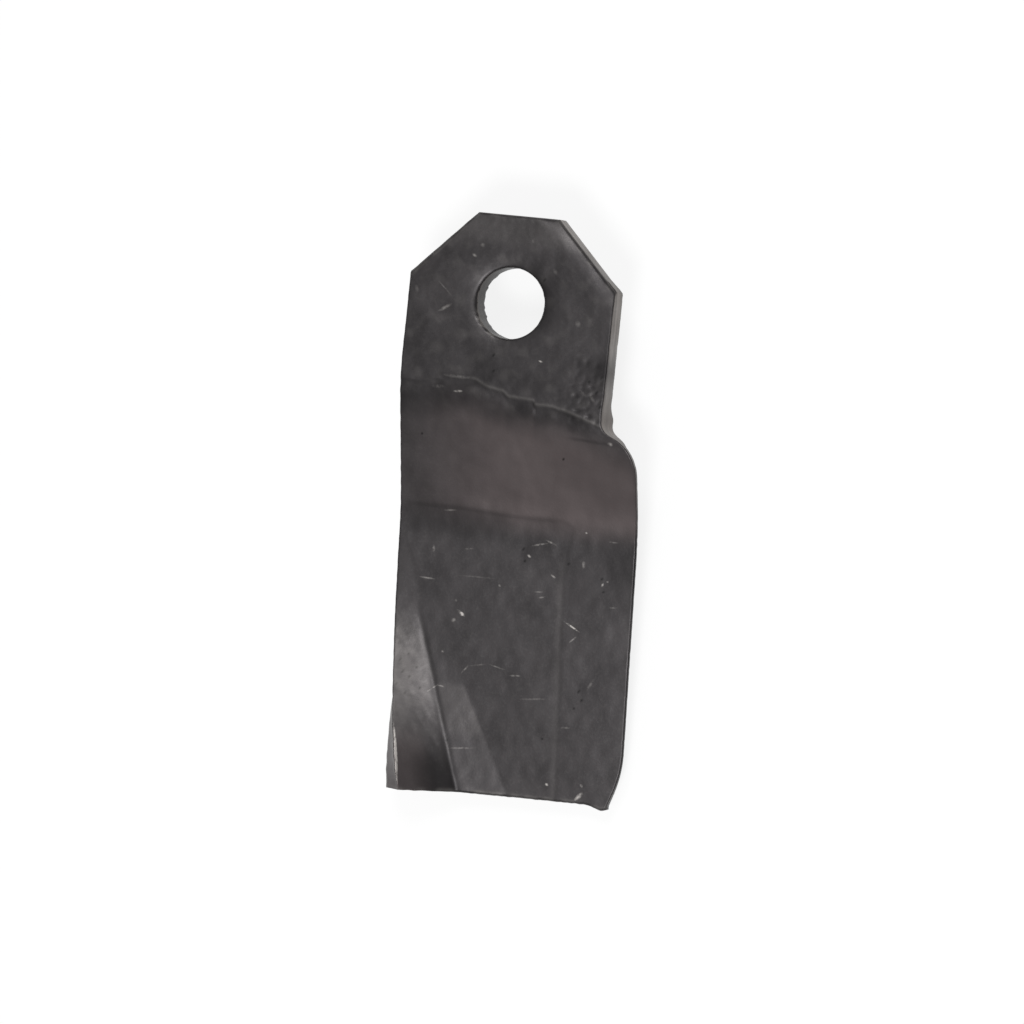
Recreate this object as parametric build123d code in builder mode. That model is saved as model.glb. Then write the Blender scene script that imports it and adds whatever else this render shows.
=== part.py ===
from build123d import *
from math import atan2, cos, radians, sin, tan
import os

# Mulcher blade: one length of flat bar steel, forged in one piece.
# Millimetres. The origin is the middle of the bolt hole, halfway through the head.
# +Z leaves the front face of the head along the bolt, +Y runs to the end of the head and
# +X points to the cutting edge. Distances "down" the blade start at the end of the head.

# Bar stock
bar_width = 60.0
bar_thickness = 8.0

# Head: two cropped corners and the hole for the bolt it swings on
hole_diameter = 20.0
hole_from_end = 24.6
hole_rim_radius = 2.0
crop_across = 18.2
crop_down = 18.6

# Crank: the neck steps back between two die lines, and the first of them lies askew
first_line_left = 46.0
first_line_right = 56.5
second_line = 84.5
crank_depth = 13.0
body_lean = 8.0
first_bend_radius = 40.0
second_bend_radius = 50.0

# Body: its foot is cropped a little out of square, so the right side is shorter by the skew
length = 165.6
foot_skew = 2.0
sheared_edge_radius = 1.4

# Cutting edge: the right side is drawn out and thinned from the back, below the shoulder
drawn_width = 10.2
bevel_width = 19.2
bevel_top = 61.5
cutting_edge_thickness = 1.5
shoulder_down = 57.5
shoulder_fall = 4.5
shoulder_radius = 11.0
notch_radius = 4.0
toe_height = 15.0
toe_width = 3.3

# Wing: the lower left corner turns up along a slanting crease, more and more towards the foot
wing_start_width = 1.0
wing_end_width = 22.0
wing_angle = 40.0
wing_tuck = 1.1
facet_end_width = 15.5
facet_angle = 5.0
crease_front_reach = 0.8
crease_back_reach = 3.6
wing_sections = 6

# Sizes that follow from the ones above
half_width = bar_width / 2
half_thickness = bar_thickness / 2
cutting_edge = half_width + drawn_width
bevel_start = cutting_edge - bevel_width
toe = cutting_edge - toe_width
body_depth = bar_thickness / cos(radians(body_lean))
right_length = length - foot_skew
overhang = bar_thickness
first_line_slant = (first_line_right - first_line_left) / bar_width
first_line_far = first_line_right + (drawn_width + overhang) * first_line_slant
shallowest_neck = atan2(crank_depth, second_line - first_line_left)
first_bend_reach = first_bend_radius * tan(shallowest_neck / 2)
head_joint = first_line_left - 1.2 * first_bend_reach
steepest_neck = atan2(crank_depth, second_line - first_line_far)
second_bend_reach = second_bend_radius * tan((steepest_neck - radians(body_lean)) / 2)
wing_start = second_line + second_bend_reach
wing_joint = wing_start + wing_start_width


def along(down):
    """Y of a place that lies so far down from the end of the head."""
    return hole_from_end - down


def body_front(down):
    """Height of the front face of the body, which falls away at the lean."""
    return half_thickness - crank_depth - (down - second_line) * tan(radians(body_lean))


def stepped(point, distance, angle):
    """The point so far to the left of a given one, on a line that rises at the angle."""
    return (point[0] - distance * cos(angle), point[1] + distance * sin(angle))


def crank_section(x):
    """Side profile of the bar at one x, from the flat head down, with a bend at each die line."""
    first_line = first_line_left + first_line_slant * (x + half_width)
    with BuildSketch(Plane.YZ.offset(x)) as section:
        with BuildLine():
            front = FilletPolyline(
                (along(head_joint), half_thickness),
                (along(first_line), half_thickness),
                (along(second_line), body_front(second_line)),
                (along(length), body_front(length)),
                radius=(first_bend_radius, second_bend_radius),
            )
            offset(front, amount=bar_thickness, side=Side.LEFT)
        make_face()
    return section.sketch


def wing_section(down):
    """Cross profile of the body at one distance down: flat, facet, crease and wing."""
    share = (down - wing_start) / (length - wing_start)
    turn = radians(wing_angle) * share**2
    tilt = radians(facet_angle) * share
    wing_width = wing_start_width + (wing_end_width - wing_start_width) * share
    facet_width = wing_start_width + (facet_end_width - wing_start_width) * share
    back_reach = crease_front_reach + (crease_back_reach - crease_front_reach) * share

    # Front outline, from the right end of the flat to the tip of the wing
    front = body_front(down)
    flat_end = (cutting_edge + overhang, front)
    facet_end = (wing_width - half_width + facet_width, front)
    crease = stepped(facet_end, facet_width / cos(tilt), tilt)
    half_bend = (turn - tilt) / 2
    front_width = wing_width - body_depth * tan(half_bend) - wing_tuck * share**2
    tip = stepped(crease, front_width, turn)

    # Back outline, one thickness behind the front
    bisector = half_bend + tilt
    crease_depth = body_depth / cos(half_bend)
    back_crease = (
        crease[0] - crease_depth * sin(bisector),
        crease[1] - crease_depth * cos(bisector),
    )
    heel = (tip[0] - body_depth * sin(turn), tip[1] - body_depth * cos(turn))
    back_facet_end = (facet_end[0] - body_depth * tan(tilt / 2), front - body_depth)
    back_flat_end = (flat_end[0], front - body_depth)

    with BuildSketch(Plane.XZ.offset(-along(down))) as section:
        with BuildLine():
            Polyline(flat_end, facet_end, stepped(crease, -crease_front_reach, tilt))
            Bezier(
                stepped(crease, -crease_front_reach, tilt),
                crease,
                stepped(crease, crease_front_reach, turn),
            )
            Polyline(
                stepped(crease, crease_front_reach, turn),
                tip,
                heel,
                stepped(back_crease, back_reach, turn),
            )
            Bezier(
                stepped(back_crease, back_reach, turn),
                back_crease,
                stepped(back_crease, -back_reach, tilt),
            )
            Polyline(
                stepped(back_crease, -back_reach, tilt),
                back_facet_end,
                back_flat_end,
                flat_end,
            )
        make_face()
    return section.sketch


def bevel_section(x):
    """Side profile of what the bevel takes off the back at one x."""
    share = (x - bevel_start) / bevel_width
    depth = body_depth + (cutting_edge_thickness - body_depth) * share
    neck_slope = crank_depth / (second_line - first_line_right)
    top = half_thickness - (bevel_top - first_line_right) * neck_slope - depth
    end = length + overhang
    clear = 4 * bar_thickness
    with BuildSketch(Plane.YZ.offset(x)) as section:
        with BuildLine():
            FilletPolyline(
                (along(bevel_top), top),
                (along(second_line), body_front(second_line) - depth),
                (along(end), body_front(end) - depth),
                radius=second_bend_radius,
            )
            Polyline(
                (along(end), body_front(end) - depth),
                (along(end), top - clear),
                (along(bevel_top) + clear, top - clear),
                (along(bevel_top), top),
            )
        make_face()
    return section.sketch


# Head: the flat bar, with some to spare on the right until the outline is cut
with BuildPart() as head:
    with Locations((overhang / 2, along(head_joint / 2), 0)):
        Box(bar_width + overhang, head_joint, bar_thickness)

# Neck: the bar's side profile carried across its width
with BuildPart() as crank:
    crank_ends = (-half_width, cutting_edge + overhang)
    loft([crank_section(x) for x in crank_ends], ruled=True)
    split(bisect_by=Plane.XZ.offset(-along(wing_joint)), keep=Keep.BOTTOM)

# Body with its wing: the cross profile carried down to the foot
with BuildPart() as body:
    pitch = (length + overhang - wing_joint) / (wing_sections - 1)
    loft([wing_section(wing_joint + i * pitch) for i in range(wing_sections)])

with BuildPart() as blade:
    add(head.part)
    add(crank.part)
    add(body.part)

    # Plan outline: cropped head, shoulder, cutting edge, rounded toe and cropped foot
    margin = half_width + overhang
    crown = half_width - crop_across
    crop_slope = crop_down / crop_across
    foot_slope = foot_skew / (half_width + toe)
    toe_start = (cutting_edge, along(right_length - toe_height))
    toe_end = (toe, along(right_length))
    with BuildSketch(Plane.XY):
        with BuildLine():
            FilletPolyline(
                (half_width, along(crop_down)),
                (half_width, along(shoulder_down)),
                (cutting_edge, along(shoulder_down + shoulder_fall)),
                toe_start,
                radius=(notch_radius, shoulder_radius),
            )
            TangentArc(toe_start, toe_end, tangent=(0, -1))
            Polyline(
                toe_end,
                (-margin, along(length + foot_slope * overhang)),
                (-margin, along(crop_down + crop_slope * overhang)),
                (-crown, along(0)),
                (crown, along(0)),
                (half_width, along(crop_down)),
            )
        make_face()
    extrude(amount=bar_width, both=True, mode=Mode.INTERSECT)

    # Bevel behind the cutting edge
    bevel_ends = (bevel_start - overhang, cutting_edge + overhang)
    loft([bevel_section(x) for x in bevel_ends], ruled=True, mode=Mode.SUBTRACT)

    # Bolt hole, its front rim drawn in round by the punch
    with Locations((0, 0, half_thickness)):
        Hole(radius=hole_diameter / 2, depth=bar_thickness)
    round_walls = blade.faces().filter_by(GeomType.CYLINDER)
    hole_wall = round_walls.filter_by(lambda face: face.radius == hole_diameter / 2)
    fillet(hole_wall.edges().group_by(Axis.Z)[-1], radius=hole_rim_radius)

    # Front edges rolled over by the shear: the end of the head, its crops and the foot
    front_edges = blade.faces().filter_by(lambda face: face.normal_at().Z > 0.5).edges()
    head_ends = blade.faces().filter_by(
        lambda face: face.normal_at().Y > 0.5 and face.center().Y > along(crop_down)
    )
    foot_end = blade.faces().sort_by(Axis.Y)[0]
    sheared = head_ends.edges() + foot_end.edges()
    fillet([edge for edge in sheared if edge in front_edges], radius=sheared_edge_radius)

blade.part.label = "blade"
os.makedirs("parts", exist_ok=True)
export_step(blade.part, "parts/blade.step")

print("volume", round(blade.part.volume), "mm3, solids", len(blade.solids()))
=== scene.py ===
# %% [markdown]
# # A mulcher blade in forged steel
# A mulcher's rotor swings dozens of these blades. Each is one length of flat bar: cropped and
# punched hot, cranked between two dies, drawn out to a cutting edge, and turned up at one corner.
# Oil and heat leave it nearly black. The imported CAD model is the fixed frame, and this script
# dresses it: the same form, with the marks that the dies, the shears and the handling left.

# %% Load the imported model
from math import cos, radians, sin, tan

import bpy
import numpy as np
from mathutils import Matrix, Vector


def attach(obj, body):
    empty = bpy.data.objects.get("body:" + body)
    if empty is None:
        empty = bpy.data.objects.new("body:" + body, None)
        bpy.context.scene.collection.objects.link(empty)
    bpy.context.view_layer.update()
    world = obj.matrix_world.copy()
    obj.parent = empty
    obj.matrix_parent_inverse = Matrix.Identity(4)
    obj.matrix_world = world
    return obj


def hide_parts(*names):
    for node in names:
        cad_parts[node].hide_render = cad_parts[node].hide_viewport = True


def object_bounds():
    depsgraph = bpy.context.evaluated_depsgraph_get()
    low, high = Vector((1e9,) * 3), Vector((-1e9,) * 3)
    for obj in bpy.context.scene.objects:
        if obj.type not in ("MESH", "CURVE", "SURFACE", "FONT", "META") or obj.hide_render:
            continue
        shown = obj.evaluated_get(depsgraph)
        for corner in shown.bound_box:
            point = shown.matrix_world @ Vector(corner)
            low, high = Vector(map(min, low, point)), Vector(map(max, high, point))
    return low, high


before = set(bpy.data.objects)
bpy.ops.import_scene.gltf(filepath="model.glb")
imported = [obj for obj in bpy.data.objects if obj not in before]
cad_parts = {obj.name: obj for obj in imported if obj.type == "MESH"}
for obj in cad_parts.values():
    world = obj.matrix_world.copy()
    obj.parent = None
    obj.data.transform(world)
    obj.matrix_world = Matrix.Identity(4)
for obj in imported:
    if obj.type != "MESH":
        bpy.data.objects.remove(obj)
cad_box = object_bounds()
print("CAD box in mm:", [[round(c * 1000, 1) for c in corner] for corner in cad_box])

# %% [markdown]
# ## The sizes of the blade
# The drawing's sizes are repeated here in millimetres. x runs across the blade to the cutting
# edge, and "down" runs from the end of the head to the foot. The origin is the middle of the
# bolt hole, which lies 24.6 mm down, halfway through the bar. Two rounds are tighter than in the
# drawing, the hole's rim and the rolled edges, because here the face also sags towards them.

# %% Sizes from the drawing, in millimetres
half_width, thickness, lean = 30.0, 8.0, radians(8)
hole_down, hole_radius, hole_rim = 24.6, 10.0, 0.6
crop_across, crop_down = 18.2, 18.6
first_line_left, first_line_right, second_line, crank_depth = 46.0, 56.5, 84.5, 13.0
first_bend, second_bend = 40.0, 50.0
length, foot_skew, rolled_edge = 165.6, 2.0, 0.75
cutting_edge, bevel_width, bevel_top, keen = 40.2, 19.2, 61.5, 1.5
shoulder_down, shoulder_fall, shoulder_radius, notch_radius = 57.5, 4.5, 11.0, 4.0
toe_height, toe_width = 15.0, 3.3
wing_top_width, wing_foot_width, wing_angle, wing_tuck = 1.0, 22.0, radians(40), 1.1
facet_foot_width, facet_angle = 15.5, radians(5)
crease_front_reach, crease_back_reach = 0.8, 3.6
first_line_slant = (first_line_right - first_line_left) / (2 * half_width)
first_line_far = first_line_right + (cutting_edge - half_width + thickness) * first_line_slant
body_depth = thickness / cos(lean)
skin_depth = 0.08  # the face lies this low, so that its highest bumps stay inside the bar
print("blade of", length, "by", half_width + cutting_edge, "mm")

# %% [markdown]
# ## A bend as one formula
# Seen from the side, the bar is straight, bends, runs down the neck, bends back and is straight
# again. A bend can be drawn as an arc, but as a height it is simpler as a ramp: nothing before
# the corner, a parabola within its reach, and a steady slope after it. Two ramps make the crank.


# %% The bend and the side profile of the bar
def ramp(past, reach):
    """0 before a corner, the distance past it after, and a parabola within reach of it."""
    return np.clip(past + reach, 0, 2 * reach) ** 2 / (4 * reach) + np.maximum(past - reach, 0)


def side_profile(x, down, behind=0.0):
    """Height of the bar's face: level, then the neck's slope from the first die line to the
    second, then the lean. A face that lies behind the front has its corners moved up the bar."""
    first = first_line_left + first_line_slant * (x + half_width)
    neck = np.arctan2(crank_depth, second_line - first)
    first_corner = first - behind * np.tan(neck / 2)
    second_corner = second_line - behind * np.sin((neck + lean) / 2) / np.cos((neck - lean) / 2)
    first_reach = (first_bend - behind) * np.tan(neck / 2)
    second_reach = (second_bend + behind) * np.tan((neck - lean) / 2)
    fall = np.tan(neck) * ramp(down - first_corner, first_reach)
    rise = (np.tan(neck) - tan(lean)) * ramp(down - second_corner, second_reach)
    return thickness / 2 - behind - fall + rise


for place in (0.0, 60.0, 84.5, 160.0):
    print("down", place, "mm the front is at", round(float(side_profile(0.0, place)), 2), "mm")

# %% [markdown]
# ## The turned-up wing
# The lower left corner is turned up along a slanting crease, more and more towards the foot,
# with a shallow facet beside it. It could be sculpted by hand, but each cross section is only
# three straight lines, so two more ramps across the blade give it exactly.


# %% The wing, front and back
def wing(down):
    """Every size of the cross section at a distance down: turn, tilt, crease and its ends. The
    front of the crease is softer than in the drawing where it begins."""
    steepest = np.arctan2(crank_depth, second_line - first_line_far)
    start = second_line + second_bend * tan((steepest - lean) / 2)
    share = np.clip((down - start) / (length - start), 0, 1)
    turn, tilt = wing_angle * share**2, facet_angle * share
    crease = wing_top_width + (wing_foot_width - wing_top_width) * share - half_width
    facet_end = crease + wing_top_width + (facet_foot_width - wing_top_width) * share
    half_bend = (turn - tilt) / 2
    front_width = crease + half_width - body_depth * np.tan(half_bend) - wing_tuck * share**2
    tip = crease - front_width * np.cos(turn)
    heel = tip - body_depth * np.sin(turn)
    back_crease = crease - body_depth / np.cos(half_bend) * np.sin(half_bend + tilt)
    back_facet_end = facet_end - body_depth * np.tan(tilt / 2)
    back_reach = crease_front_reach + (crease_back_reach - crease_front_reach) * share
    at_rest = share <= 0
    return {
        "turn": turn, "tilt": tilt, "crease": crease, "facet_end": facet_end,
        "tip": np.where(at_rest, -half_width, tip), "heel": np.where(at_rest, -half_width, heel),
        "reach": 1.2 + 6.0 * np.clip(0.6 - share, 0, 1),
        "back_crease": back_crease, "back_facet_end": back_facet_end, "back_reach": back_reach,
    }


def front_face(x, down):
    """The side profile, raised by the facet's slope and then by the wing's."""
    w = wing(down)
    facet = np.tan(w["tilt"]) * np.maximum(w["facet_end"] - x, 0)
    turned = (np.tan(w["turn"]) - np.tan(w["tilt"])) * ramp(w["crease"] - x, w["reach"])
    return side_profile(x, down) + facet + turned


def back_face(x, down):
    """The same one thickness behind, and the bevel that thins the cutting edge to keen."""
    w = wing(down)
    facet = np.tan(w["tilt"]) * np.maximum(w["back_facet_end"] - x, 0)
    turned = (np.tan(w["turn"]) - np.tan(w["tilt"])) * ramp(w["back_crease"] - x, w["back_reach"])
    back = side_profile(x, down, behind=thickness) + facet + turned
    share = (x - (cutting_edge - bevel_width)) / bevel_width
    depth = body_depth + (keen - body_depth) * share
    neck_slope = crank_depth / (second_line - first_line_right)
    top = thickness / 2 - (bevel_top - first_line_right) * neck_slope - depth
    below = -neck_slope * np.maximum(down - bevel_top, 0) - np.maximum(bevel_top - down, 0)
    bend = (neck_slope - tan(lean)) * ramp(down - second_line, 8.0)
    return np.where(x > 13, np.maximum(back, top + below + bend), back)


print("wing tip at the foot:", round(float(wing(length)["tip"]), 2), "mm across")

# %% [markdown]
# ## Soft unevenness
# Nothing on a forging is quite flat or straight. A sum of waves in random directions, with a
# fixed seed, gives a surface that rolls without repeating, and one smooth hump and one soft-edged
# band are enough to place every mark that follows.

# %% Waves, humps and bands
def waves(x, down, size, seed, count=14):
    """A sum of cosines with random directions and phases, near one wavelength, about -1 to 1."""
    rng = np.random.default_rng(seed)
    total = 0.0
    for turn, phase, stretch in rng.uniform((0, 0, 0.7), (np.pi, 2 * np.pi, 1.5), (count, 3)):
        k = 2 * np.pi / (size * stretch)
        total = total + np.cos(k * (x * cos(turn) + down * sin(turn)) + phase)
    return total * (0.8 / np.sqrt(count))


def bump(distance, width):
    """A smooth hump of height 1 that falls away on both sides of a line."""
    return np.exp(-((distance / width) ** 2))


def between(value, low, high, soft):
    """1 between two places and 0 outside, with soft ends."""
    rise = np.clip((value - low) / soft + 0.5, 0, 1)
    fall = np.clip((high - value) / soft + 0.5, 0, 1)
    return rise * rise * (3 - 2 * rise) * fall * fall * (3 - 2 * fall)


print("a wave of 5 mm reaches", round(float(waves(np.arange(0, 60, 0.5), 0.0, 5.0, 1).max()), 2))

# %% [markdown]
# ## The plan outline
# The right edge has a notch, a shoulder and a rounded toe. Its line is a short path of arcs, and
# a look-up turns it into one number per row, the place where the row ends. The shear left the
# back of the notch a little wider than the front, which shows as a bright strip on the side.


# %% The two side edges
def corner_arc(before, corner, after, radius, steps=14):
    """Points of the arc that rounds a corner, turning about its centre from side to side."""
    before, corner, after = (np.array(p, float) for p in (before, corner, after))
    into, out = before - corner, after - corner
    into, out = into / np.linalg.norm(into), out / np.linalg.norm(out)
    half_angle = np.arccos(np.clip(into @ out, -1, 1)) / 2
    centre = corner + (into + out) / np.linalg.norm(into + out) * radius / sin(half_angle)
    first = corner + into * radius / tan(half_angle) - centre
    last = corner + out * radius / tan(half_angle) - centre
    t = np.linspace(0, 1, steps)[:, None]
    angle = np.pi - 2 * half_angle
    return centre + (np.sin((1 - t) * angle) * first + np.sin(t * angle) * last) / sin(angle)


notch = (half_width, shoulder_down)
shoulder = (cutting_edge, shoulder_down + shoulder_fall)
toe_start = length - foot_skew - toe_height
toe_radius = (toe_width**2 + toe_height**2) / (2 * toe_width)
toe_turn = np.linspace(0, np.arcsin((toe_height + 1.0) / toe_radius), 16)
toe_arc = np.stack([
    cutting_edge - toe_radius * (1 - np.cos(toe_turn)), toe_start + toe_radius * np.sin(toe_turn)
], 1)
right_path = np.vstack([
    [(half_width - crop_across, 0.0), (half_width, crop_down)],
    corner_arc((half_width, crop_down), notch, shoulder, notch_radius),
    corner_arc(notch, shoulder, (cutting_edge, toe_start), shoulder_radius),
    toe_arc,
])


def right_edge(down):
    """Where the row at this distance down ends on the right."""
    return np.interp(down, right_path[:, 1], right_path[:, 0])


def left_edge(down):
    """The same on the left, before the wing: the crop, a little shorter, and then the side."""
    places = [0, crop_down - 0.3, 500]
    return -np.interp(down, places, [half_width - crop_across, half_width, half_width])


def crop_distance(across, down):
    """Distance inside a cropped corner, for a place this far across from the middle."""
    inside = (half_width - crop_across - across) * crop_down + down * crop_across
    return inside / np.hypot(crop_down, crop_across)


def foot_down(x):
    """How far down the skewed foot lies at this x, with the burr at its right corner. It is
    0.05 mm short, so that its waves stay inside the solid's box."""
    skew = foot_skew / (half_width + cutting_edge - toe_width) * (x + half_width)
    burr = 1.3 * bump(x - 34.7, 2.6)
    return length - 0.05 - skew + burr + 0.06 * waves(x, 0.0, 3.0, 35)


print("right edge halfway down:", round(float(right_edge(83.0)), 2), "mm")

# %% [markdown]
# ## Marks of the forge
# A hot die leaves its edges in the steel: a jagged lip where the neck begins and the outline of
# a shallow imprint on the body. The punch dished the face around the hole. All are small heights
# added to the faces, each a formula of the distance to a line.

# %% Lines and imprints that the dies left
def first_die_line(x):
    """Distance down of the jagged lip where the neck begins, from the places where it turns."""
    at = [-30, -24, -20.6, -17.4, -7.8, -4.4, 0.7, 2.3, 9.8, 10.4, 15.1, 19.6, 28.2, 40]
    return np.interp(
        x, at, [48.2, 48.6, 47.8, 46.4, 46.5, 48.3, 49.2, 50.5, 50.8, 52.0, 52.0, 52.9, 55.7, 60.0]
    )


def second_die_line(x):
    """Distance down of the upper edge of the imprint on the body, with its rounded corner."""
    return np.interp(x, [-30, -13.4, 5, 18, 22.8], [83.2, 83.0, 83.9, 83.6, 85.6])


def drawn_line(down):
    """x of the faint line where the drawing out of the cutting edge begins."""
    at = [80, 84.8, 92, 99.8, 117.8, 133.5, 149.3, 161.4, 170]
    return np.interp(down, at, [22.6, 22.2, 21.0, 20.0, 20.3, 20.9, 21.2, 21.5, 21.6])


def die_marks(x, down):
    """The lip of the first die with the dip below it, and the imprint of the second."""
    line = down - first_die_line(x) - 0.15 * waves(x, down, 3.0, 3)
    lip = 0.07 * bump(line, 0.45) - 0.16 * bump(line - 1.6, 1.3) * between(x, -40, 24, 8)
    inside = np.minimum(down - second_die_line(x), drawn_line(down) - x)
    return lip - 0.045 * between(inside, 0.3, 500, 0.8)


def sagging(x, down):
    """How far the punch drew the face in round the hole, and the shear beside its cuts."""
    from_hole = np.maximum(np.hypot(x, down - hole_down) - hole_radius, 0)
    dish = 0.8 * np.exp(-from_hole / 2.8) * between(from_hole, -9, 14, 6)
    crop = np.clip(1 - np.maximum(crop_distance(x, down), 0) / 5.0, 0, 1) ** 2
    return dish + crop + 0.45 * np.clip(1 - down / 3.0, 0, 1) ** 2


def rough_spots(x, down):
    """Depth of the rough patch by the notch, of the pits on the wing and of the crease."""
    patch = between(x, 20, 30, 5) * between(down, 38, 57, 8)
    pits = 0.12 * patch * np.maximum(waves(x, down, 2.4, 8) - 0.1, 0)
    crease = wing(down)["crease"]
    on_wing = between(crease - x, 0.5, 40, 2) * between(down, 112, 200, 10)
    pits = pits + 0.04 * on_wing * np.maximum(waves(x, down, 1.8, 9) - 0.2, 0)
    return pits + 0.16 * bump(x - crease, 0.8) * between(down, 116, 200, 14)


def front_marks(x, down):
    """Heights added to the front: all of these, and the unevenness of a forged face."""
    uneven = 0.05 * waves(x, down, 16, 11) + 0.018 * waves(x, down, 4.5, 12)
    uneven = uneven + 0.012 * waves(x, down, 1.9, 13) * between(down, -5, 52, 12)
    return die_marks(x, down) + uneven - sagging(x, down) - rough_spots(x, down) - skin_depth


def back_marks(x, down):
    """Heights added to the back: only the unevenness of a forged face."""
    return 0.09 * waves(x, down, 15, 21) + 0.03 * waves(x, down, 4.0, 22)


print("die line at the middle:", round(float(first_die_line(0.0)), 1), "mm down")

# %% [markdown]
# ## Rolled and broken edges
# No forged edge is sharp. A quarter circle of distance gives each its round: the ends and crops
# were rolled over by the shear, the sides are only broken. The punch drew the front of the
# bolt hole in. A row of points close to each edge carries the curve.


# %% How far each edge drops
def quarter_round(distance, radius):
    """Drop of a quarter circle: the radius at the edge, nothing one radius inside it."""
    inside = np.clip(radius - distance, 0, radius)
    return radius - np.sqrt(radius**2 - inside**2)


def edge_drop(x, down, left, right, ends, sides):
    """The deepest of the rounds along the end, the crops, the foot and the two sides."""
    crop = np.where(down < crop_down + 6, crop_distance(np.abs(x), down), 99.0)
    end = np.minimum(np.minimum(down, crop), foot_down(x) - down)
    side = np.minimum(x - left, right - x)
    side = np.where(down < crop_down, 99.0, side)
    return np.maximum(quarter_round(end, ends), quarter_round(side, sides))


def rim_drop(x, down):
    """Drop of the drawn-in rim by the distance from the wall of the hole."""
    return quarter_round(np.maximum(np.hypot(x, down - hole_down) - hole_radius, 0), hole_rim)


print("rolled edge drops", rolled_edge, "mm, hole rim", hole_rim, "mm")

# %% [markdown]
# ## One grid for each face
# The face has a hole in it, which a plain grid can't have. So each row is two runs, from the
# edges in to the hole, and where there is no hole they meet in the middle. Rows crowd together
# like the cosine of an angle through the hole, so that its wall is evenly divided.

# %% Rows and columns
near_edge = np.array([0, 0.07, 0.18, 0.33, 0.53, 0.78, 1.08, 1.45])
around = hole_down - hole_radius * np.cos(np.radians(np.arange(0, 181, 3.6)))
above = np.arange(hole_down - hole_radius - 2.7, around[0] - 0.1, 0.3)
beneath = np.arange(around[-1] + 0.3, around[-1] + 3.0, 0.3)
rows = np.concatenate([
    near_edge, np.arange(2.0, above[0] - 0.3, 0.58), above, around, beneath,
    np.arange(beneath[-1] + 0.55, 45.0, 0.55), np.arange(45.0, 66.0, 0.36),
    np.arange(66.0, length - 1.9, 0.56), length - near_edge[::-1],
])


def column_shares(width, step):
    """Shares from 0 at the middle of the blade to 1 at its edge, closer together at both."""
    from_edge = np.concatenate([near_edge, np.arange(2.0, width - 1.4, step)])
    from_middle = np.array([0.0, 0.22, 0.5, 0.9])
    return np.concatenate([from_middle / width, 1 - from_edge[::-1] / width])


left_shares, right_shares = column_shares(half_width, 0.58), column_shares(cutting_edge, 0.58)
hole_rows = np.flatnonzero((rows > around[0] - 1e-6) & (rows < around[-1] + 1e-6))
print(len(rows), "rows of", len(left_shares) + len(right_shares), "points")

# %% [markdown]
# ## The two faces
# Each face is every row at every column, with its height from the formulas above. The rows bend
# to follow the skewed foot. The hole is ragged where the punch broke through at the back, the
# shear left the back of the right side wider, and the whole stays inside the box of the solid.


# %% The two faces as arrays of points
def face_grid(front):
    """All points of one face, rows by columns by three, in millimetres."""
    v = rows[:, None]
    follow = np.clip((v - 110) / (length - 110), 0, 1) ** 2
    opening = np.sqrt(np.clip(hole_radius**2 - (v - hole_down) ** 2, 0, None))
    ragged = 0.988 - (0.006 if front else 0.028) * waves(0.0, v, 1.6, 31 if front else 32)
    turned = wing(v)["tip" if front else "heel"]
    left = np.maximum(turned, left_edge(v))
    if not front:
        left = np.where(v > second_line + 8, turned, left)
    left = left - 0.26 * between(v, 43, 128, 30) + 0.04 * waves(0.0, v, 3.0, 33)
    left = np.maximum(left, cad_box[0].x * 1000)
    right = right_edge(v) - 0.05 * np.abs(waves(5.0, v, 2.6, 34))
    right = right + (0.3 if front else 0.5) * between(v, 17, 50, 5)
    if not front:
        right = right + 1.25 * bump(v - 54.6, 3.2) * between(v, 0, 58.8, 2)
    x = np.concatenate([
        (-opening * ragged + (left + opening * ragged) * left_shares)[:, ::-1],
        opening * ragged + (right - opening * ragged) * right_shares,
    ], axis=1)
    down = v + (foot_down(x) - length) * follow
    left, right = x[:, :1], x[:, -1:]
    if front:
        z = front_face(x, down) + front_marks(x, down)
        z = z - np.maximum(edge_drop(x, down, left, right, rolled_edge, 0.5), rim_drop(x, down))
    else:
        z = back_face(x, down) + back_marks(x, down) + edge_drop(x, down, left, right, 0.4, 0.3)
    return np.stack([x, hole_down - down, z], axis=-1)


front_grid, back_grid = face_grid(True), face_grid(False)
print("front from", front_grid.min((0, 1)).round(1), "to", front_grid.max((0, 1)).round(1))

# %% [markdown]
# ## Walls, and one closed skin
# The side wall is a strip carried along the rim from the front face to the back, and the hole
# has one too. Points that lie at the same place are then made one, which closes the seams
# between the faces, the walls and the two halves of each row.


# %% Walls between the faces
def wall(front_line, back_line, steps=6):
    """A strip between two lines of points: each row of it a share of the way through the bar."""
    share = np.linspace(0, 1, steps + 1)[None, :, None]
    return front_line[:, None, :] * (1 - share) + back_line[:, None, :] * share


def around_rim(grid):
    """The rim of a grid of points, once round: down the left, along the foot and back up."""
    left, foot = grid[:, 0], grid[-1, 1:]
    right, end = grid[-2::-1, -1], grid[0, -2:0:-1]
    return np.concatenate([left, foot, right, end, left[:1]])


def quads(shape, start):
    """Four corner numbers of each square of a grid whose points are numbered from start."""
    n = start + np.arange(shape[0] * shape[1]).reshape(shape)
    return np.stack([n[:-1, :-1], n[1:, :-1], n[1:, 1:], n[:-1, 1:]], axis=-1).reshape(-1, 4)


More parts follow.
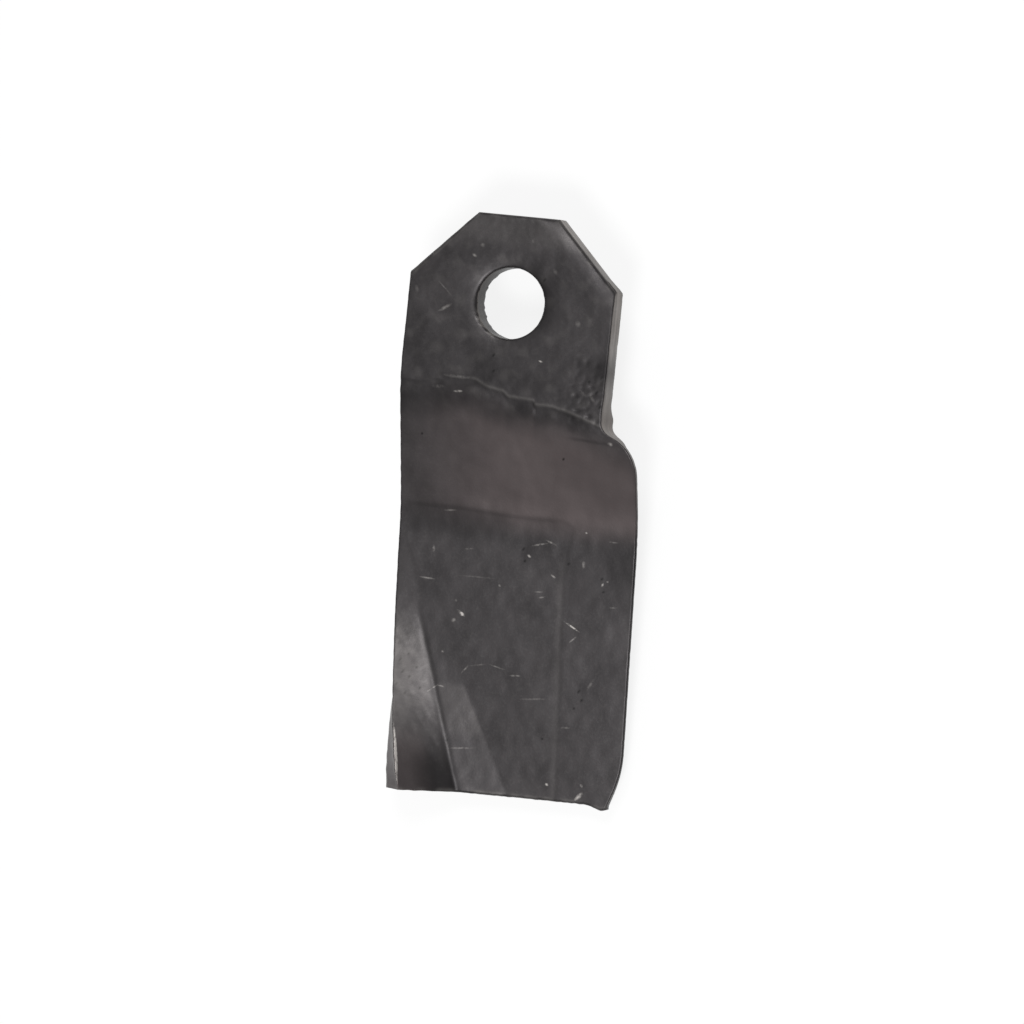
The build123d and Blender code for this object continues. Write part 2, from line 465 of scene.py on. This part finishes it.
middle = len(left_shares)
h0, h1 = hole_rows[0], hole_rows[-1] + 1
patches = [
    front_grid[:, :middle], front_grid[:, middle:],
    back_grid[:, :middle][:, ::-1], back_grid[:, middle:][:, ::-1],
    wall(around_rim(front_grid), around_rim(back_grid))[:, ::-1],
    wall(front_grid[h0:h1, middle - 1], back_grid[h0:h1, middle - 1]),
    wall(front_grid[h0:h1, middle], back_grid[h0:h1, middle])[:, ::-1],
]
points = np.concatenate([p.reshape(-1, 3) for p in patches])
starts = np.cumsum([0] + [p.shape[0] * p.shape[1] for p in patches])
faces = np.concatenate([quads(p.shape[:2], s) for p, s in zip(patches, starts)])
print(len(points), "points and", len(faces), "squares before the seams are closed")

# %% [markdown]
# ## Closing the seams
# Points that agree to a ten-thousandth of a millimetre become one. Squares that lose a corner by
# it, as at the top of the hole, are kept as triangles, and those that lose more are dropped.

# %% Close the seams and make the mesh
_, first, where = np.unique(np.round(points, 4), axis=0, return_index=True, return_inverse=True)
faces = where.reshape(-1)[faces]
same = (faces == np.roll(faces, 1, axis=1)).any(axis=1) | (faces[:, 0] == faces[:, 2])
degenerate = faces[same]
faces = faces[~same]
triangles = [tuple(dict.fromkeys(f)) for f in degenerate.tolist()]
triangles = [f for f in triangles if len(f) == 3]
mesh = bpy.data.meshes.new("forged_blade")
mesh.from_pydata((points[first] / 1000).tolist(), [], faces.tolist() + triangles)
mesh.update()
mesh.polygons.foreach_set("use_smooth", np.ones(len(mesh.polygons), bool))
blade = bpy.data.objects.new("forged_blade", mesh)
bpy.context.scene.collection.objects.link(blade)
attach(blade, "root")
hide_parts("blade")
print(len(mesh.vertices), "points,", len(mesh.polygons), "faces")

# %% [markdown]
# ## What the surface remembers
# Heat left darker scale beside the die lines and in the crease, rubbing laid bare the edges, and
# oil turned the neck brown. These follow the blade's own lines, so they are worked out at the
# points of the mesh and kept as named attributes, one number each, for the material to read.

# %% Where each point lies
at = points[first]
x, down = at[:, 0], hole_down - at[:, 1]
facing = np.empty(len(mesh.vertices) * 3)
mesh.vertices.foreach_get("normal", facing)
facing = facing.reshape(-1, 3)
front_side = np.clip(facing[:, 2] * 3, 0, 1)
w = wing(down)
past_lip = down - first_die_line(x)
past_second = down - second_die_line(x)
from_hole = np.hypot(x, down - hole_down) - hole_radius
right_gap = right_edge(down) - x
end_gap = np.minimum(crop_distance(np.abs(x), down), np.minimum(down, foot_down(x) - down))
on_wing = w["crease"] - x
on_facet = between(x, w["crease"] + 1.0, w["facet_end"], 0.8)


def attribute(name, values):
    """Keeps one number per point under a name that a material can read."""
    mesh.attributes.new(name, "FLOAT", "POINT").data.foreach_set("value", np.clip(values, 0, 1))


print("points on the front:", int((front_side > 0.5).sum()))

# %% [markdown]
# ## Scratches and pits
# Handling left small bright scratches, and scale that was pressed in left small dark holes. A
# scratch is a line from one place to another with a width and a strength, and a pit is a place
# with a width. They are thinner than the mesh is fine, so the material draws them further on.

# %% Scratches and pits, in millimetres
scratches = [
    # x, down, x, down, width, strength
    (-20.6, 28.8, -16.7, 26.2, 0.6, 0.45), (-12.1, 11.9, -11.1, 12.4, 0.5, 0.5),
    (-10.0, 8.6, -9.1, 9.4, 0.8, 0.3), (4.5, 6.5, 5.4, 7.2, 0.9, 0.3),
    (-21.9, 19.9, -17.0, 24.2, 0.3, 0.25), (10.4, 39.8, 11.3, 40.0, 0.35, 0.9),
    (-13.9, 50.7, -11.2, 50.4, 0.4, 0.7), (-17.3, 46.5, -7.5, 46.4, 0.7, 0.25),
    (-20.5, 49.9, -16.9, 49.6, 0.6, 0.25), (-27.9, 22.1, -27.1, 24.0, 0.7, 0.2),
    (20.0, 28.0, 21.2, 29.0, 0.9, 0.25), (11.4, 13.7, 13.3, 15.4, 0.8, 0.2),
    (22.6, 46.7, 24.8, 48.2, 0.6, 0.2), (26.2, 47.8, 27.5, 49.6, 0.6, 0.25),
    (32.2, 60.8, 33.4, 61.0, 0.6, 0.6), (-17.0, 84.7, -13.4, 84.3, 0.35, 0.35),
    (9.6, 92.0, 14.3, 90.7, 0.35, 0.45), (13.7, 89.9, 16.7, 91.0, 0.35, 0.5),
    (8.6, 94.7, 9.3, 95.2, 0.45, 0.8), (-10.2, 95.0, -7.5, 94.7, 0.3, 0.35),
    (-12.4, 102.8, 0.8, 102.4, 0.3, 0.2), (-23.4, 104.4, -18.6, 104.6, 0.35, 0.5),
    (-19.6, 95.0, -19.5, 96.7, 0.5, 0.4), (-10.5, 113.4, -9.6, 113.9, 0.65, 1.0),
    (-12.8, 116.0, -11.9, 115.3, 0.6, 0.45), (-12.2, 109.9, -11.9, 110.2, 0.5, 0.4),
    (0.6, 104.2, 0.9, 104.4, 0.4, 0.6), (15.8, 99.6, 17.0, 100.3, 0.35, 0.55),
    (20.5, 112.3, 25.1, 114.8, 0.32, 1.0), (22.3, 118.2, 24.5, 116.0, 0.3, 0.4),
    (25.3, 86.6, 25.6, 86.6, 0.35, 0.7), (25.1, 94.8, 25.2, 96.5, 0.6, 0.4),
    (30.9, 101.0, 31.2, 100.4, 0.35, 0.6), (32.3, 99.7, 32.6, 99.7, 0.3, 0.4),
    (33.1, 107.0, 36.0, 106.7, 0.3, 0.3), (32.2, 88.4, 34.8, 88.4, 0.3, 0.3),
    (10.5, 105.0, 14.3, 104.6, 0.3, 0.3), (12.4, 106.5, 14.4, 106.0, 0.3, 0.35),
    (-9.1, 130.5, -7.2, 128.3, 0.35, 0.45), (-7.2, 128.3, -1.3, 127.0, 0.3, 0.25),
    (-1.3, 127.0, 3.9, 128.1, 0.3, 0.35), (5.2, 129.6, 8.8, 129.3, 0.35, 0.45),
    (8.0, 136.0, 18.1, 134.8, 0.35, 0.25), (-11.4, 152.5, -4.1, 151.6, 0.35, 0.3),
    (-18.9, 137.2, -16.0, 134.8, 0.3, 0.45), (-16.0, 134.8, -13.6, 135.1, 0.35, 0.45),
    (28.5, 130.9, 30.1, 127.9, 0.5, 0.25), (21.3, 142.7, 24.5, 142.3, 0.3, 0.3),
    (18.0, 159.2, 18.6, 159.5, 0.5, 0.9), (28.4, 158.2, 28.9, 158.7, 0.5, 0.6),
    (26.8, 163.0, 29.0, 160.5, 0.7, 0.8), (-15.2, 124.9, -14.9, 125.2, 0.35, 0.5),
    (-26.6, 146.5, -22.4, 164.0, 0.4, 1.6), (-11.4, 112.6, -9.2, 114.2, 0.5, 0.6),
]
pits = [
    # x, down, width
    (-27.3, 128.6, 0.7), (-26.2, 131.9, 0.9), (-25.0, 126.7, 0.6), (-24.2, 133.2, 0.6),
    (-27.6, 135.6, 0.7), (-22.4, 130.3, 0.5), (-24.9, 137.9, 0.6), (-20.9, 136.1, 0.5),
    (25.9, 131.6, 0.7), (26.9, 134.0, 0.6), (24.8, 136.6, 0.5), (30.6, 99.0, 0.6),
    (31.3, 102.6, 0.5), (20.6, 95.8, 0.5), (7.0, 93.1, 0.7), (7.6, 96.4, 0.5),
    (28.9, 42.6, 0.8), (27.8, 46.9, 0.7), (29.2, 50.8, 0.8), (25.4, 44.1, 0.5),
    (9.3, 17.2, 0.8), (8.1, 18.6, 0.6), (-3.2, 39.4, 0.6), (-2.7, 43.8, 0.6),
    (-23.7, 63.5, 0.4), (18.7, 66.4, 0.5), (-12.2, 150.2, 0.4), (16.0, 146.4, 0.4),
]
print(len(scratches), "scratches and", len(pits), "pits")

# %% [markdown]
# ## Dark scale and painted shade
# Where the steel was hottest its scale is thicker and darker, and shade is painted into the
# hollows, on the walls and under the die lines. Each line below is one such place, as a strength
# times a soft band across and a soft band down.

# %% Where the scale is dark, and where shade is painted
scale_and_painted_shade = (
    # painted shade in the dip below the first die line, and darker above it
    0.55 * between(past_lip, 0.6, 8.5, 8) * between(x, -40, 7, 14)
    + 0.6 * between(past_lip, 0.4, 5.0, 4) * between(x, 4, 27, 8)
    + 0.4 * between(past_lip, -7, -0.5, 5) * between(x, -7, 24, 10)
    # a dark line across the shoulder
    + 0.4 * bump(down - 60.6 - 0.05 * (x - 24), 0.5) * between(x, 21, 34, 4)
    # painted shadow along and under the second die line, and darker beside it to the cutting edge
    + 0.22 * bump(past_second - 0.6, 0.7) * between(x, -27, 16, 5)
    + 0.55 * between(past_second, 0, 8, 6) * between(x, -29, 3, 10)
    + 0.25 * between(past_second, 0, 12, 3) * between(x, 7.5, 21.5, 4)
    + 0.25 * between(down, 86, 108, 8) * between(x, 21, 60, 4)
    + 0.35 * between(down, 86, 101, 8) * between(x, 31, 60, 8)
    # the rough patch by the notch, and the head as a whole
    + 0.5 * bump(np.hypot(x - 28.6, (down - 41) / 1.6), 2.6)
    + 0.25 * between(x, 20, 60, 4) * between(down, 37, 55, 6)
    + 0.1 * between(down, 11, 46, 8)
    # painted shade in the dish above and right of the hole
    + 0.45 * np.exp(-np.maximum(from_hole, 0) / 2.2) * between(x + hole_down - down, 4, 99, 10)
    # painted shade in the crease and on the facet, dark scale with painted shade at the corner
    # of the wing, and a dark line along the cutting edge
    + 0.45 * bump(on_wing, 0.9) * between(down, 119, 200, 16)
    + on_facet * (0.22 * between(down, 90, 134, 1.5) + 0.08 * between(down, 142, 200, 8))
    + 0.45 * between(on_wing, -1.0, 9, 4) * between(down, 155, 200, 7)
    + 0.5 * bump(right_gap, 0.6) * between(down, 60, 200, 4)
    # painted shade on the lower side walls and on the wall of the hole
    + (1 - front_side) * 0.9 * between(down, 90, 200, 40)
    + (1 - front_side) * 0.8 * between(from_hole, -2, 0.3, 0.4)
)
blotches = np.clip(0.5 * waves(x, down, 9, 41) + 0.1, 0, 1)
scale_and_painted_shade = scale_and_painted_shade + front_side * 0.3 * blotches * between(down, -5, 60, 10)
attribute("scale_and_painted_shade", scale_and_painted_shade)
print("mean of burnt scale:", round(float(np.clip(scale_and_painted_shade, 0, 1).mean()), 3))

# %% [markdown]
# ## Rubbed, highlighted and brown places
# The die's lip is rubbed nearly to bare steel, and the rolled edges are rubbed and carry a painted
# highlight. The lit half of the wing and the top of the facet get a painted highlight, the lower
# left of the hole's rim has bright burrs with a painted highlight, and the end of the head is
# lighter. The strongest of these wins at each point. Oil has turned the neck and the foot of the
# wing brown.

# %% Rubbed places, painted highlights, brown and sheared places
# rubbed rolled ends and crops, with a painted highlight on them
edges = 0.12 * bump(end_gap - 0.6, 0.5) * np.clip(waves(x, down, 5.0, 42) + 0.6, 0, 1)
lip = 0.09 * bump(past_lip, 0.5) * between(x, -9, 30, 4)
drawn = 0.03 * bump(x - drawn_line(down) + 1.3, 1.1) * between(down, 96, 200, 12)
# a painted highlight on the lit half of the wing, brightest at its left edge
wing_highlight = np.clip(0.9 + 0.3 * waves(x, down, 4, 46), 0, 1) * between(down, 119, 150, 20)
wing_highlight = 0.17 * wing_highlight * np.exp(-(x + half_width) / 9) * between(on_wing, 0, 40, 4)
# bright burrs on the lower left of the hole's rim, with a painted highlight
rim = 0.4 * bump(from_hole - 0.2, 0.35) * between(-x, 2, 12, 5) * between(down, 28, 36, 4)
rim = rim * np.clip(waves(x, down, 1.5, 47) + 0.5, 0, 1)
head_end = 0.045 * between(down, 1.0, 8, 5)
# a painted highlight at the top of the facet
facet_highlight = 0.03 * on_facet * between(down, 134, 148, 3)
flecks = 0.035 * np.clip(waves(x, down, 6, 48) - 0.25, 0, 1) * between(down, -5, 55, 6)
rubbed_and_highlit = [edges, lip, drawn, wing_highlight, rim, head_end, facet_highlight, flecks]
# bare steel and painted highlights, on the front only
attribute("bare_and_painted_highlight", front_side * np.maximum.reduce(rubbed_and_highlit))
neck = between(past_lip, 6, 200, 12) * between(down, 40, 87, 9) * between(x, -14, 60, 50)
wing_foot = 0.5 * between(on_wing, 6, 40, 4) * between(down, 150, 200, 10)
attribute("brown", front_side * (neck + wing_foot))
attribute("sheared", np.clip(1.2 - np.abs(facing[:, 2]) * 2.2, 0, 1))
attribute("front", front_side)
print("attributes:", [a.name for a in mesh.attributes][-5:])

# %% [markdown]
# ## Scaled forged steel
# The steel is covered in mill scale, the grey-black oxide of hot working, with a film of oil.
# Scale is a poor mirror: a dull sheen over a dark body. Its grain is about 0.4 mm, drawn at 0.9 mm
# so that it shows. Sheared steel is paler, with fine lines that run along the edge.


# %% Helpers for materials
def linear(text):
    """The linear colour of an sRGB hex value such as '343233'."""
    parts = [int(text[i:i + 2], 16) / 255 for i in (0, 2, 4)]
    return [c / 12.92 if c <= 0.04045 else ((c + 0.055) / 1.055) ** 2.4 for c in parts] + [1.0]


def add_node(tree, kind, settings=(), **inputs):
    """Adds a node. settings are its properties. Each input is a value or a link, named as its
    socket with _ for a space, or _0, _1 and so on for its place among the sockets."""
    made = tree.nodes.new(kind)
    for name, value in dict(settings).items():
        setattr(made, name, value)
    for name, value in inputs.items():
        numbered = name[1:].isdigit()
        socket = made.inputs[int(name[1:]) if numbered else name.replace("_", " ")]
        if isinstance(value, bpy.types.NodeSocket):
            tree.links.new(value, socket)
        else:
            socket.default_value = value
    return made


print("scale grey is", [round(c, 4) for c in linear("343233")[:3]])

# %% The textures of the steel
steel = bpy.data.materials.new("mill_scaled_forged_steel")
steel.use_nodes = True
tree = steel.node_tree
tree.nodes.clear()
place = add_node(tree, "ShaderNodeTexCoord").outputs["Object"]
marks = {
    name: add_node(tree, "ShaderNodeAttribute", {"attribute_name": name}).outputs["Fac"]
    for name in ("scale_and_painted_shade", "bare_and_painted_highlight", "brown", "sheared", "front")
}
smudges = add_node(tree, "ShaderNodeTexNoise", Vector=place, Scale=110.0, Detail=5.0).outputs["Fac"]
grain = add_node(tree, "ShaderNodeTexNoise", Vector=place, Scale=1100.0, Detail=3.0).outputs["Fac"]
lengthwise = add_node(tree, "ShaderNodeMapping", Vector=place, Scale=(0.06, 0.06, 1))
shear_lines = add_node(
    tree, "ShaderNodeTexNoise", Vector=lengthwise.outputs[0], Scale=900.0, Detail=3.0
).outputs["Fac"]
print("textures of 9 mm, 0.9 mm and lines about 1 mm apart")

# %% [markdown]
# ## Scratches as ellipses
# A mapping node lays the object's coordinates along a scratch and stretches them to its length
# and width, and a spherical gradient then falls from 1 at its middle to 0 at its ends. A real
# scratch is about 0.1 mm wide, and these are drawn 0.3 mm or wider so that they show. The grain
# breaks them up. A pit is a short dark one.

# %% Each scratch and pit as a thin ellipse
pit_marks = [(x0, d0, x0 + 0.3, d0 + 0.2, 1.3 * width, 1.0) for x0, d0, width in pits]
layers = []
for table in (scratches, pit_marks):
    total = 0.0
    for x0, d0, x1, d1, width, strength in table:
        ellipse = add_node(
            tree, "ShaderNodeMapping", {"vector_type": "TEXTURE"}, Vector=place,
            Location=((x0 + x1) / 2000, (hole_down - (d0 + d1) / 2) / 1000, 0),
            Rotation=(0, 0, np.arctan2(d0 - d1, x1 - x0)),
            Scale=((np.hypot(x1 - x0, d1 - d0) / 2 + 0.3) / 1000, width / 1000, 1),
        ).outputs[0]
        inside = add_node(
            tree, "ShaderNodeTexGradient", {"gradient_type": "SPHERICAL"}, Vector=ellipse
        ).outputs[1]
        total = add_node(
            tree, "ShaderNodeMath", {"operation": "MULTIPLY_ADD"},
            _0=inside, _1=strength**1.5, _2=total,
        ).outputs[0]
    layers.append(total)
glint, pitted = layers
broken = add_node(
    tree, "ShaderNodeMapRange",
    Value=grain, From_Min=0.35, From_Max=0.55, To_Min=0.2, To_Max=1.3,
).outputs["Result"]
glint = add_node(tree, "ShaderNodeMath", {"operation": "MULTIPLY"}, _0=glint, _1=broken).outputs[0]
glint = add_node(
    tree, "ShaderNodeMath", {"operation": "MULTIPLY"}, _0=glint, _1=marks["front"]
).outputs[0]
# scratches, and the bare steel with its painted highlights
rubbing_and_highlight = add_node(tree, "ShaderNodeMath", {"operation": "MAXIMUM"}, _0=glint, _1=marks["bare_and_painted_highlight"])
print(len(tree.nodes), "nodes so far")

# %% [markdown]
# ## Colour in layers
# Each layer lies over the one before by its own amount: grey scale with smudges, pale dust on the
# grain, brown oil, dark scale with painted shade, pits, and rubbed steel with painted highlights.
# The sheared sides have their own mix, darkened by painted shade low on the blade and in the hole.

# %% The layers of colour
dust = add_node(
    tree, "ShaderNodeMapRange",
    Value=grain, From_Min=0.5, From_Max=0.75, To_Min=0.0, To_Max=0.25,
).outputs["Result"]
colour = linear("343233")
# 1f1d1e is dark scale and painted shade, b5b0ac is rubbed steel and painted highlights
for amount, over in (
    (smudges, "413e3f"), (dust, "504e4d"), (marks["brown"], "5b5353"),
    (marks["scale_and_painted_shade"], "1f1d1e"), (pitted, "151414"), (rubbing_and_highlight.outputs[0], "b5b0ac"),
):
    colour = add_node(
        tree, "ShaderNodeMix", {"data_type": "RGBA"}, _0=amount, _6=colour, _7=linear(over)
    ).outputs[2]
side = add_node(
    tree, "ShaderNodeMix", {"data_type": "RGBA"},
    _0=shear_lines, _6=linear("1a1817"), _7=linear("a39b95"),
).outputs[2]
# painted shade darkens the sides low on the blade and the wall of the hole
darkened = add_node(
    tree, "ShaderNodeMix", {"data_type": "RGBA"}, _0=marks["scale_and_painted_shade"], _6=side, _7=linear("1f1d1e")
).outputs[2]
colour = add_node(
    tree, "ShaderNodeMix", {"data_type": "RGBA"}, _0=marks["sheared"], _6=colour, _7=darkened
).outputs[2]
print("rubbed steel is", [round(c, 3) for c in linear("b5b0ac")[:3]])

# %% [markdown]
# ## Sheen
# Scale is partly metal, so it counts as metal by 0.7, and its sheen is soft, a little softer in
# some smudges than in others. The grain and the shear lines stand up by a hundredth of a
# millimetre or so, too fine for the mesh, so they are the only relief left to the material.

# %% Relief, roughness and the surface
height = add_node(tree, "ShaderNodeMix", _0=marks["sheared"], _2=grain, _3=shear_lines)
relief = add_node(
    tree, "ShaderNodeBump", Strength=0.12, Distance=0.00015, Height=height.outputs[0]
)
roughness = add_node(
    tree, "ShaderNodeMapRange",
    Value=smudges, From_Min=0.3, From_Max=0.7, To_Min=0.36, To_Max=0.5,
)
surface = add_node(
    tree, "ShaderNodeBsdfPrincipled", Base_Color=colour, Metallic=0.7,
    Roughness=roughness.outputs["Result"], Normal=relief.outputs["Normal"],
)
add_node(tree, "ShaderNodeOutputMaterial", Surface=surface.outputs["BSDF"])
mesh.materials.append(steel)
print("material", steel.name, "with", len(tree.nodes), "nodes")

# %% [markdown]
# ## Floor and light
# The blade lies on a white floor, lit by a pale sky and two soft lamps, one beyond the end of the
# head and one towards the foot. What the camera sees of the floor gets light of its own, so that
# it reads as white paper, while a little of the blade's shadow still shows on it.

# %% The floor
floor_height = cad_box[0].z
half_floor = 3.0
corners = [(a * half_floor, b * half_floor) for a, b in ((-1, -1), (1, -1), (1, 1), (-1, 1))]
floor_mesh = bpy.data.meshes.new("floor")
floor_mesh.from_pydata([(a, b, floor_height) for a, b in corners], [], [(0, 1, 2, 3)])
floor = bpy.data.objects.new("floor", floor_mesh)
bpy.context.scene.collection.objects.link(floor)
paper = bpy.data.materials.new("white_paper_floor")
paper.use_nodes = True
tree = paper.node_tree
tree.nodes.clear()
rays = add_node(tree, "ShaderNodeLightPath")
seen = add_node(
    tree, "ShaderNodeMath", {"operation": "MAXIMUM"},
    _0=rays.outputs["Is Camera Ray"], _1=rays.outputs["Is Glossy Ray"],
)
diffuse = add_node(tree, "ShaderNodeBsdfDiffuse", Color=linear("fafafa"))
glow = add_node(tree, "ShaderNodeEmission", Color=(1, 1, 1, 1), Strength=seen.outputs[0])
lifted = add_node(
    tree, "ShaderNodeMixShader", _0=0.85, _1=diffuse.outputs[0], _2=glow.outputs[0]
)
add_node(tree, "ShaderNodeOutputMaterial", Surface=lifted.outputs[0])
floor_mesh.materials.append(paper)
print("floor at", round(floor_height * 1000, 2), "mm")

# %% [markdown]
# ## Sky and lamps
# The lamp beyond the head lights the soft crops, the end of the head and the lower left of the
# hole's rim. The one towards the foot lies where the turned-up wing mirrors it to the camera.

# %% Sky and lamps
world = bpy.data.worlds.new("studio")
bpy.context.scene.world = world
world.use_nodes = True
sky = world.node_tree.nodes["Background"]
sky.inputs["Color"].default_value = (1, 1, 1, 1)
sky.inputs["Strength"].default_value = 0.38


def softbox(name, direction, distance, width, power):
    """A square lamp that far off in a direction, facing the middle of the blade."""
    lamp = bpy.data.lights.new(name, "AREA")
    lamp.shape, lamp.size, lamp.energy = "SQUARE", width, power
    holder = bpy.data.objects.new(name, lamp)
    middle = (cad_box[0] + cad_box[1]) / 2
    away = Vector(direction).normalized()
    holder.location = middle + away * distance
    holder.rotation_euler = away.to_track_quat("Z", "Y").to_euler()
    bpy.context.scene.collection.objects.link(holder)


softbox("beyond_the_head", (0.087, 0.53, 1.0), 1.3, 0.35, 5.0)
softbox("towards_the_foot", (0.144, -0.307, 0.94), 1.5, 0.3, 13.0)
print("two softboxes and a sky of", round(sky.inputs["Strength"].default_value, 2))

# %% [markdown]
# ## The camera
# The photograph looks at the front of the head from 17 degrees to the right of its normal and
# turns the blade 6 degrees. These numbers come from fitting the drawing's outline to the one
# in the picture. The lens follows from the distance and the size of a millimetre in the frame.

# %% The camera at the photograph's angle
azimuth, elevation, roll = radians(17.1101), radians(1.9746), radians(5.8675)
distance, pixels_per_mm, hole_at = 1361.26, 3.5645, (513.4355, 303.7035)
toward = Vector((sin(azimuth) * cos(elevation), sin(elevation), cos(azimuth) * cos(elevation)))
rightward = Vector((cos(azimuth), 0, -sin(azimuth)))
upward = toward.cross(rightward)
off_x, off_y = ((p - 512) / pixels_per_mm for p in hole_at)
target = -((off_x * cos(roll) + off_y * sin(roll)) * rightward
           + (off_x * sin(roll) - off_y * cos(roll)) * upward)
picture_right = cos(roll) * rightward + sin(roll) * upward
picture_up = -sin(roll) * rightward + cos(roll) * upward
pose = Matrix((picture_right, picture_up, toward)).transposed().to_4x4()
pose.translation = (target + distance * toward) / 1000
camera_data = bpy.data.cameras.new("camera")
camera_data.sensor_width = 36.0
camera_data.lens = 36.0 * distance * pixels_per_mm / 1024
camera = bpy.data.objects.new("camera", camera_data)
bpy.context.scene.collection.objects.link(camera)
camera.matrix_world = pose
bpy.context.scene.camera = camera
bpy.context.scene.view_settings.view_transform = "Standard"
print("lens", round(camera_data.lens, 1), "mm from", round(distance), "mm away")

# %% [markdown]
# ## Last look
# The skin must stay inside the box of the CAD model. The scene is brought up to date.

# %% Finish
bpy.context.view_layer.update()
